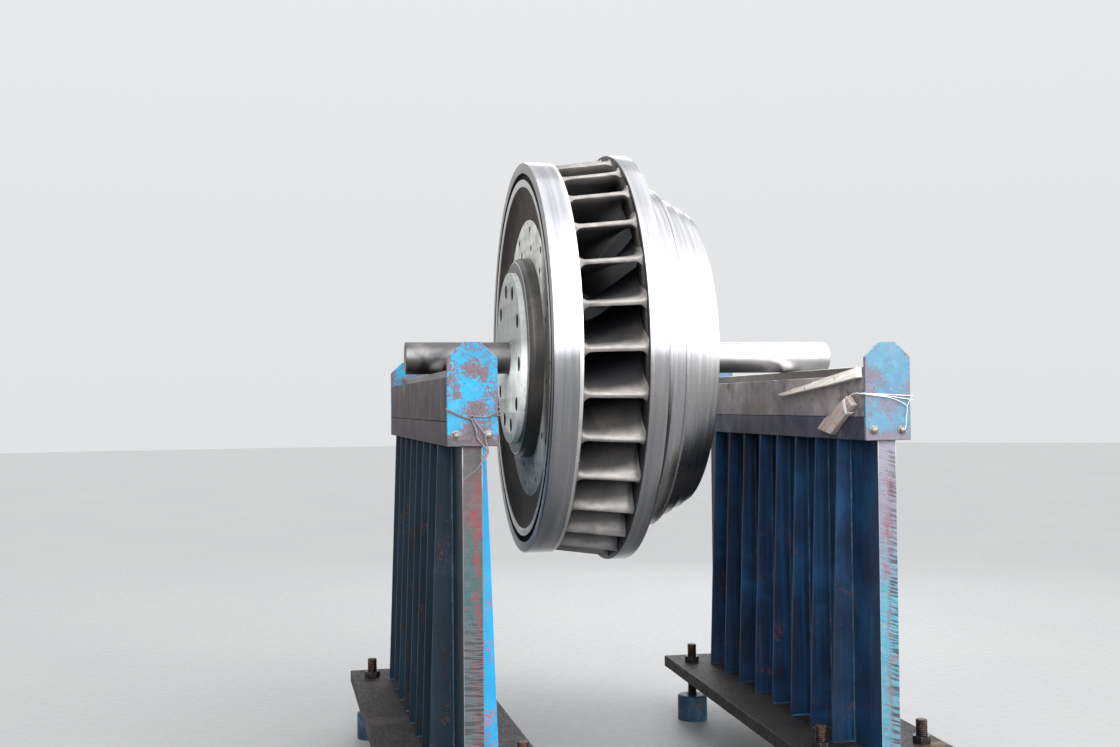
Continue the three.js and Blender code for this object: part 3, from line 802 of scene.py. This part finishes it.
def blade_point(travel, span, phase):
    meridian = bezier(HUB_WALL, travel).lerp(bezier(BAND_WALL, travel), span)
    share = travel / LONG_END
    angle = phase + radians(BLADE_WRAP) * (0.35 * share + 0.65 * share * share)
    return Vector(on_runner(meridian.x, meridian.y, angle))


def blade_normal(travel, span, phase):
    along = blade_point(travel + 0.001, span, phase) - blade_point(travel, span, phase)
    across = blade_point(travel, 1, phase) - blade_point(travel, 0, phase)
    return along.cross(across).normalized()


def blade_rows(end):
    """The travels of a blade's corners, and for each the passage's width and the rows' spans."""
    nose = [BLADE_START + 0.055 * (step / 9) ** 2 for step in range(10)]
    pace = (end - nose[-1]) / 16
    rest = [nose[-1] + pace * step for step in range(1, 16)]
    travels = nose + rest + [end - pace * 0.12 * (1 - step / 3) ** 2 for step in range(4)]
    spans = []
    for travel in travels:
        width = (bezier(HUB_WALL, travel) - bezier(BAND_WALL, travel)).length
        low = [distance / width for distance in ROOT_ROWS]
        high = [1 - share for share in reversed(low)]
        middle = [low[-1] + (high[0] - low[-1]) * step / 4 for step in range(1, 4)]
        spans.append((width, low + middle + high))
    return travels, spans


def make_blade(name, node, end, phase, seed):
    """A blade that flares into both walls, with a round nose and a thin tail."""
    shape = Shape()
    travels, spans = blade_rows(end)
    rows = len(spans[0][1])
    loops = []
    for row in range(rows):
        centres = [blade_point(t, spans[index][1][row], phase) for index, t in enumerate(travels)]
        reach = [0]
        for first, second in zip(centres, centres[1:]):
            reach.append(reach[-1] + (second - first).length)
        sides = ([], [])
        for index, travel in enumerate(travels):
            width, shares = spans[index]
            share = shares[row]
            distance = max(0, min(share, 1 - share) * width)
            fillet = ROOT_FILLET * (1 - 0.72 * min(1, travel / 0.42))
            flare = 0
            if distance < fillet:
                flare = fillet - sqrt(fillet**2 - (fillet - distance) ** 2)
            thinning = (BLADE_TAIL_HALF - BLADE_HALF) * (travel - BLADE_START) / (end - BLADE_START)
            back = min((reach[-1] - reach[index]) / 6, 1)
            half = (BLADE_HALF + thinning + flare) * sqrt(1 - (1 - back) ** 2)
            wobble = noise.noise(centres[index] * 0.012 + Vector((seed, 0, 0)))
            normal = blade_normal(travel, share, phase)
            middle = centres[index] + normal * wobble * 1.5
            for side, sign, length in zip(sides, (1, -1), (NOSE_LOWER, NOSE_UPPER)):
                front = min(reach[index] / length, 1)
                side.append(middle + normal * sign * half * sqrt(1 - (1 - front) ** 2))
        loops.append(sides[0] + sides[1][::-1][1:-1])
    count = len(loops[0])
    faces = []
    for base, order in ((0, 1), ((rows - 1) * count, -1)):
        for index in range(len(travels) - 1):
            other = (count - index) % count
            corners = dict.fromkeys((index, index + 1, count - index - 1, other))
            faces.append(tuple(base + corner for corner in corners)[::order])
    shape.loft(loops, more=faces)
    shape.piece(name, "rotor", [passage], [node], 50)


def make_blades():
    for index in range(BLADES):
        kind, end = (("long", LONG_END), ("splitter", SPLITTER_END))[index % 2]
        number = f"{index // 2 + 1:02d}"
        phase = tau * index / BLADES
        make_blade(f"{kind}_vane_{number}", f"{kind}_blade_{number}", end, phase, index * 7.3)


def ring_plate(shape, inner, outer, start, end, holes, edge, bore):
    """A flat ring between two stations, with drilled holes and small edge breaks."""
    curve = bpy.data.curves.new("plate", "CURVE")
    curve.dimensions = "2D"
    curve.fill_mode = "BOTH"
    curve.extrude = (end - start) / 2 - edge
    curve.bevel_depth = edge
    curve.bevel_resolution = 1
    curve.offset = -edge
    circles = [(0, 0, outer, 240), (0, 0, inner, 200)]
    circles += [(x, y, radius, 24) for x, y, radius in holes]
    for x, y, radius, count in circles:
        spline = curve.splines.new("POLY")
        spline.use_cyclic_u = True
        spline.points.add(count - 1)
        for step, point in enumerate(spline.points):
            angle = tau * step / count
            point.co = (x + radius * cos(angle), y + radius * sin(angle), 0, 1)
    item = placed("plate", curve)
    bpy.context.view_layer.update()
    graph = bpy.context.evaluated_depsgraph_get()
    mesh = bpy.data.meshes.new_from_object(item.evaluated_get(graph))
    middle = (start + end) / 2 + FACE_X
    verts = [(middle - v.co.z, -v.co.x, AXIS_Z + v.co.y) for v in mesh.vertices]
    marks = []
    for face in mesh.polygons:
        x, y, z = face.center
        inside = [hypot(x - hole[0], y - hole[1]) < hole[2] + 0.3 for hole in holes]
        marks.append(bore if any(inside) else 0)
    shape.add(verts, [tuple(face.vertices) for face in mesh.polygons], marks)
    bpy.data.objects.remove(item)
    bpy.data.curves.remove(curve)
    bpy.data.meshes.remove(mesh)


def hole_circle(radius, size, start, count):
    angles = [radians(start + 360 * index / count) for index in range(count)]
    return [(radius * cos(angle), radius * sin(angle), size) for angle in angles]


def make_centre():
    """The cover disc, the boss, the flange with its spigot, the outlet bush and the arbor."""
    cover = Shape()
    holes = hole_circle(464, 11, -69.5, 12) + hole_circle(400, 11, -74, 12)
    ring_plate(cover, BOSS_RADIUS + 0.3, 498.7, 30, PLATE_BACK, holes, 1, 1)
    materials = [cover_patina, recess_shade]
    cover.piece("cover_disc_drilled", "rotor", materials, ["crown_cover_disc"])

    turned_piece("boss_ring", "hub_boss", [boss_dark, ring_bright], [
        (PLATE_BACK, BOSS_RADIUS), (PLATE_BACK, FLANGE_RADIUS + 0.4),
        (-20, FLANGE_RADIUS + 0.4, 1.5), (-20, 345, 2, 1), (-17.5, 348.5, 1.5),
        (-4, BOSS_RADIUS, 5),
    ])

    flange = Shape()
    holes = hole_circle(247, 25, -7, 10)
    ring_plate(flange, ARBOR_RADIUS + 0.3, FLANGE_RADIUS, -40, PLATE_BACK, holes, 1.2, 2)
    spigot = [(44.6, 119.7, 0, 1), (130, 119.7, 3, 1), (130, 58, 1, 1), (44.6, 58, 0, 1)]
    turn(flange, rounded(spigot), 120)
    materials = [flange_patina, drum_bright, recess_shade]
    flange.piece("drilled_flange", "rotor", materials, ["arbor_flange"])

    turned_piece("outlet_bush_turned", "outlet_bush", [drum_bright], [
        (430, 58, 1), (522.3, 58, 1.5), (522.3, 150, 4), (500.4, 150, 2), (500.4, 119.7),
        (430, 119.7, 4),
    ], 160)
    left, right = ARBOR_ENDS
    turned_piece("arbor_bar", "arbor", [bar_bright, recess_shade], [
        (left + 18, 0, 0, 1), (left + 8, 6.5, 0, 1), (left, 9, 1), (left, ARBOR_RADIUS, 4.5),
        (right, ARBOR_RADIUS, 4.5), (right, 9, 1, 1), (right - 8, 6.5, 0, 1), (right - 18, 0, 0, 1),
    ], 96, closed=False)


def make_bar(shape, centre, bottom, top, edge, seed, mark):
    """A bar of the rail beam, with broken edges that are nicked here and there."""
    section = []
    for dx, dz in ((1, 1), (-1, 1), (-1, -1), (1, -1)):
        x, z = centre - dx * BEAM_HALF, bottom if dz > 0 else top
        arc = [(x + dx * edge, z), (x + dx * edge * 0.3, z + dz * edge * 0.3), (x, z + dz * edge)]
        section.extend(arc if dx * dz < 0 else arc[::-1])
    rows = round(2 * BEAM_END / 22)
    loops = []
    for row in range(rows + 1):
        y = 2 * BEAM_END * row / rows - BEAM_END
        inset = edge * 0.9 if row in (0, rows) else 0
        loop = []
        for index, (x, z) in enumerate(section):
            sway = noise.noise(Vector((index * 3.1 + seed, y * 0.02, 0)))
            shift = inset + max(0, sway - 0.12) * 5
            toward = Vector((centre - x, (bottom + top) / 2 - z)).normalized()
            loop.append((x + toward.x * shift, y, z + toward.y * shift))
        loops.append(loop)
    shape.loft(loops, (1, -1), mark)


def dress(node, material, edge):
    """A CAD solid that keeps its shape gets a finish and broken edges."""
    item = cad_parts[node]
    weld = item.modifiers.new("weld", "WELD")
    weld.merge_threshold = 0.00002
    bevel = item.modifiers.new("edges", "BEVEL")
    bevel.width = edge
    bevel.segments = 2
    bevel.limit_method = "ANGLE"
    bevel.angle_limit = radians(30)
    for slot in item.material_slots:
        slot.material = material


def tube(shape, path, radius, sides=8):
    """A round tube along points, closed at both ends; the radius may be one per point."""
    points = [Vector(point) for point in path]
    radii = radius if isinstance(radius, list) else [radius] * len(points)
    angles = [tau * step / sides for step in range(sides)]
    normal = Vector((0, 0, 1))
    loops = []
    for index, point in enumerate(points):
        ahead = points[min(index + 1, len(points) - 1)] - points[max(index - 1, 0)]
        ahead.normalize()
        normal = normal - ahead * normal.dot(ahead)
        if normal.length < 1e-3:
            normal = Vector((1, 0, 0)) - ahead * ahead.x
        normal.normalize()
        side = ahead.cross(normal)
        around = [normal * cos(angle) + side * sin(angle) for angle in angles]
        loops.append([point + spoke * radii[index] for spoke in around])
    shape.loft(loops, (-1, 1))


def smooth_path(points, steps=6):
    """A curve through the points."""
    points = [Vector(point) for point in points]
    ends = [points[0] * 2 - points[1], *points, points[-1] * 2 - points[-2]]
    path = []
    for index in range(1, len(ends) - 2):
        a, b, c, d = ends[index - 1 : index + 3]
        for step in range(steps):
            t = step / steps
            square, cube = a * 2 - b * 5 + c * 4 - d, b * 3 - a - c * 3 + d
            path.append(0.5 * (b * 2 + (c - a) * t + square * t**2 + cube * t**3))
    path.append(points[-1])
    return path


def make_jack(name, node, x, y):
    """A round foot pad, a threaded screw and a hexagon nut on the plate."""
    def place(height, radius, angle):
        return (x + radius * cos(angle), y + radius * sin(angle), height)

    shape = Shape(x < 0)
    pad = [(0, 0), (0, 62, 2), (99, 62, 2), (105, 56, 3), (105, 24, 2), (101, 22, 1), (101, 0)]
    turn(shape, rounded(pad), 64, place, closed=False)
    sides = 24
    for low, high, end in ((100, 198, 0), (266, 318, 1)):
        rows = round((high - low) / THREAD_PITCH * 5)
        loops = []
        for row in range(rows + 1):
            z = low + (high - low) * row / rows
            loop = []
            for step in range(sides):
                share = (z / THREAD_PITCH - step / sides) % 1
                radius = 17 + 2 * min(1, max(0, 2.7 * abs(share - 0.5) - 0.2))
                if end:
                    radius = min(radius, 15.5 + (high - z) * 1.2)
                loop.append(place(z, radius, tau * step / sides))
            loops.append(loop)
        shape.loft(loops, (0, end), 1)
    sides = 48
    loops = []
    for z, limit in NUT_LEVELS:
        loop = []
        for step in range(sides):
            angle = tau * step / sides
            flat = (angle + pi / 6) % (pi / 3) - pi / 6
            loop.append(place(z, min(27 / cos(flat), limit), angle + pi / 6))
        loops.append(loop)
    shape.loft(loops, mark=2)
    shape.piece(name, "stands", [foot_paint, screw_rust, nut_rust], [node], 40)


def make_beads(name, centre):
    """Fillet welds where the ribs meet the web and the foot plate."""
    shape = Shape(centre < 0)
    rng = random.Random(11)
    rise = BEAM_BOTTOM - BASE_TOP - 8
    for rib in range(RIBS):
        middle = (rib - (RIBS - 1) / 2) * RIB_PITCH
        for face in (-RIB_HALF, RIB_HALF):
            for side in (-1, 1):
                x, y = centre + side * WEB_HALF, middle + face
                corner = (x + side * 1.2, y + copysign(1.2, face))
                up = [(*corner, BASE_TOP + 4 + rise * step / 70) for step in range(71)]
                reach = [WEB_HALF + 1 + 74 * step / 12 for step in range(13)]
                out = [(centre + side * far, y, BASE_TOP + 1) for far in reach]
                for path, thin in ((up, 3.4), (out, 3.6)):
                    tube(shape, path, [thin + 0.7 * rng.random() for point in path], 6)
    shape.piece(name, "stands", [weld_paint], (), 60)


def make_bolts(name, centre, places, direction):
    """Domed bolt heads with a washer, on the stop plates."""
    shape = Shape(centre < 0)
    head = rounded([
        (-1, 0), (-1, 14.5), (2, 14.5, 1), (2, 10, 0.5), (5.5, 10, 2), (8, 6.5, 3), (8.5, 0),
    ])
    for across, z in places:
        def place(station, radius, angle, x=centre + across, z=z):
            along = direction * (PLATE_FACE + station)
            return (x + radius * cos(angle), along, z + radius * sin(angle))
        turn(shape, head, 32, place, closed=False)
    shape.piece(name, "stands", [bolt_finish], (), 35)


def make_chock(name, node, outline, material, seed):
    """A split wooden chock: rough faces, broken edges and uneven ends."""
    curve = []
    for index, point in enumerate(outline):
        a, b = Vector(point), Vector(outline[(index + 1) % len(outline)])
        steps = max(1, round((b - a).length / 14))
        curve.extend(a.lerp(b, step / steps) for step in range(steps))
    middle = sum(curve, Vector((0, 0))) / len(curve)
    loops = []
    for x, inset in CHOCK_LAYERS:
        loop = []
        for point in curve:
            rough = noise.noise(Vector((point.x, point.y, x)) * 0.045 + Vector((seed, 0, 0))) * 2.6
            fine = noise.noise(Vector((point.x * 0.2, point.y * 0.2, x * 0.2 + seed))) * 0.9
            inward = (middle - point).normalized()
            moved = point + inward * (inset + max(0, 0.6 + rough + fine))
            loop.append((x, moved.x, moved.y))
        loops.append(loop)
    shape = Shape()
    shape.loft(loops, (1, 1))
    shape.piece(name, "stands", [material], [node], 40)


def make_stand(side, centre, block, cap, frame_finish, plate, bolts):
    beam = Shape(centre < 0)
    make_bar(beam, centre, CAP_TOP + BEAM_GAP, BLOCK_TOP, 2.2, centre, 0)
    make_bar(beam, centre, BEAM_BOTTOM, CAP_TOP - BEAM_GAP, 2.4, centre + 40, 1)
    beam.piece(f"{side}_beam_bars", "stands", [block, cap], [f"{side}_rail_beam"], 40)
    dress(f"{side}_rail_strip", rail_top, 0.0015)
    dress(f"{side}_stand_frame", frame_finish, 0.002)
    dress(f"{side}_base_plate", foot_plate, 0.003)
    dress(f"{side}_near_stop_plate", plate, 0.0022)
    dress(f"{side}_far_stop_plate", plate, 0.0022)
    make_beads(f"{side}_weld_beads", centre)
    for number, (x, y) in enumerate(JACK_PLACES, 1):
        make_jack(f"{side}_jack_{number}", f"{side}_levelling_jack_{number}", centre + x, y)
    make_bolts(f"{side}_near_bolts", centre, bolts, -1)
    make_bolts(f"{side}_far_bolts", centre, bolts, 1)


# Each tie has its radius, its twists, and points across the plate, out from its face, and up
TIE_FACE = -PLATE_FACE - 2.2
WIRES = (
    (1.7, 0, (
        (-77, -14, 1334), (-77, 0, 1332), (-60, 0, 1322), (-38, 0, 1312), (-15, 0, 1305),
        (-7, 1, 1311), (20, 0, 1311), (44, 0, 1309), (68, 0, 1316), (77, 0, 1320), (77, -14, 1322),
    )),
    (1.7, 0, (
        (-77, -14, 1338), (-77, 0, 1336), (-50, 2, 1321), (-20, 3, 1309), (-4, 4, 1303),
        (4, 5, 1309), (-3, 6, 1315), (-12, 4, 1309), (-4, 5, 1302),
    )),
    (1.7, 0, (
        (44, 3, 1311), (66, 4, 1322), (72, 4, 1339), (80, 3, 1336), (87, 2, 1327), (82, 2, 1317),
        (74, 5, 1314), (70, 5, 1322), (78, 5, 1326), (83, -3, 1312),
    )),
    (1.9, 9, (
        (-3, 3, 1302), (9, 4, 1271), (13, 3, 1249), (28, 4, 1230), (39, 5, 1210), (23, 6, 1191),
    )),
    (1.9, 9, (
        (1, 4, 1305), (20, 5, 1280), (35, 5, 1257), (37, 5, 1241), (43, 6, 1218), (42, 6, 1202),
        (20, 7, 1171),
    )),
    (1.2, 0, ((20, 7, 1171), (6, 8, 1155), (-12, 8, 1143), (-31, 8, 1126))),
)
TWINES = (
    (1.4, 0, (
        (-84, -14, 1371), (-77, -5, 1371), (-74, 0, 1370), (0, 0, 1366), (75, 0, 1362),
        (77, -14, 1362),
    )),
    (1.3, 0, (
        (-84, -14, 1368), (-77, -5, 1368), (-74, 0, 1368), (0, 1, 1361), (75, 0, 1350),
        (77, -14, 1350),
    )),
    (1, 0, (
        (-74, 2, 1367), (0, 3, 1357), (40, 3, 1343), (60, 3, 1328), (58, 4, 1300), (54, 7, 1268),
        (50, 9, 1259), (42, 9, 1256),
    )),
    (1.2, 0, ((77, -14, 1351), (76, 0, 1351), (66, 2, 1341), (61, 3, 1328))),
)


def tie(shape, centre, ties):
    """Strands in front of a stop plate, some of them two that are twisted round each other."""
    for radius, twists, points in ties:
        path = smooth_path([(centre + x, TIE_FACE - out, z) for x, out, z in points])
        if not twists:
            tube(shape, path, radius)
            continue
        for half in (0, pi):
            moved = []
            for index, point in enumerate(path):
                angle = half + tau * twists * index / (len(path) - 1)
                moved.append(point + Vector((cos(angle), 0, sin(angle))) * radius * 0.9)
            tube(shape, moved, radius)


def make_ties():
    """Rusty wire round the left stop plate, white twine round the right one and the short chock."""
    wire = Shape(True)
    tie(wire, -STAND_X, WIRES)
    wire.piece("left_wire_tie", "stands", [wire_rust], (), 60)

    twine = Shape()
    tie(twine, STAND_X, TWINES)
    along, aside = Vector((-0.893, 0.45)), Vector((0.45, 0.893))
    for wrap in range(3):
        middle = Vector((-772, 1329)) + along * (wrap * 5 - 6)
        loop = []
        for step in range(33):
            angle = tau * step / 32
            side = aside * (24 * max(-1, min(1, 1.25 * cos(angle))))
            x = 569.7 + 12.6 * max(-1, min(1, 1.35 * sin(angle)))
            drift = along * (step * 5 / 32)
            loop.append((x, middle.x + side.x + drift.x, middle.y + side.y + drift.y))
        tube(twine, loop, 1.7)
    plate_edge = (STAND_X - 84, TIE_FACE + 14, 1369)
    lead = [(558.4, -792, 1352), (559, -812, 1364), (565, -845, 1371), plate_edge]
    tube(twine, smooth_path(lead), 1.7)
    twine.piece("right_twine_tie", "stands", [twine_white], (), 60)


def make_studio():
    """A pale floor under a soft sky that is bright in front, with three area lights."""
    world = bpy.data.worlds.new("studio")
    bpy.context.scene.world = world
    bpy.context.scene.view_settings.view_transform = "Standard"
    world.use_nodes = True
    sky = Nodes(world.node_tree, "Generated")
    stops = (0, 0.76, 0.77, 0.78), (0.35, 0.82, 0.83, 0.85), (0.9, 1.8, 1.82, 1.85)
    backdrop = sky.cover(sky.ramp(sky.z, *stops), (0.48, 0.5, 0.53), sky.x, -0.35, -0.85, 0.75)
    low_front = sky.times(sky.range(sky.z, 0.025, 0.05), sky.range(sky.z, 1, 0.8, 0.5, 1))
    lit = sky.times(sky.range(sky.y, 0, -0.55), low_front)
    lit = sky.times(lit, sky.range(sky.x, -0.85, -0.35, 0.3, 1))
    sky.join(sky.mix(lit, backdrop, (7, 7, 7)), sky.nodes["Background"].inputs[0])
    for name, place, target, size, energy, tint in (
        ("top_light", (1.4, 0.2, 5.6), (0, 0, 1.2), 4, 70, (1, 1, 1)),
        ("right_light", (4.8, -3.6, 3.4), (0.1, 0, 1.3), 3, 190, (1, 0.99, 0.97)),
        ("back_light", (2, 5, 3.2), (0, 0, 1.3), 3.5, 120, (0.97, 0.98, 1)),
    ):
        data = bpy.data.lights.new(name, "AREA")
        data.shape = "SQUARE"
        data.size = size
        data.energy = energy
        data.color = tint
        lamp = placed(name, data)
        lamp.location = place
        lamp.rotation_euler = (Vector(target) - Vector(place)).to_track_quat("-Z", "Y").to_euler()

    work = bmesh.new()
    bmesh.ops.create_circle(work, cap_ends=True, segments=96, radius=40)
    mesh = bpy.data.meshes.new("floor")
    work.to_mesh(mesh)
    work.free()
    mesh.materials.append(floor_finish())
    ground = placed("floor", mesh)


def make_camera():
    """The photo's camera, as it was solved."""
    yaw, pitch, roll = (radians(angle) for angle in (-10.68, 1.41, -0.54))
    flat = cos(pitch)
    ahead = Vector((-sin(yaw) * flat, cos(yaw) * flat, sin(pitch)))
    level = Vector((cos(yaw), sin(yaw), 0))
    up = level.cross(ahead)
    right = cos(roll) * level + sin(roll) * up
    top = -sin(roll) * level + cos(roll) * up
    data = bpy.data.cameras.new("view")
    data.lens = 41.6
    data.sensor_width = 36
    camera = placed("view", data)
    turned = Matrix((right, top, -ahead)).transposed().to_4x4()
    place = Matrix.Translation((-1.089 + CENTRE_SHIFT / 1000, -4.641, 1.342))
    camera.matrix_world = place @ turned
    bpy.context.scene.camera = camera


make_camera()
make_studio()
make_crown()
make_band()
make_wear_ring()
make_blades()
make_centre()
make_stand("left", -STAND_X, block_left, cap_left, frame_left, plate_left, LEFT_BOLTS)
make_stand("right", STAND_X, block_right, cap_right, frame_right, plate_right, RIGHT_BOLTS)
make_chock("long_wood_chock", "right_long_chock", LONG_CHOCK, chock_pale, 3)
make_chock("short_wood_chock", "right_short_chock", SHORT_CHOCK, chock_grey, 9)
make_ties()
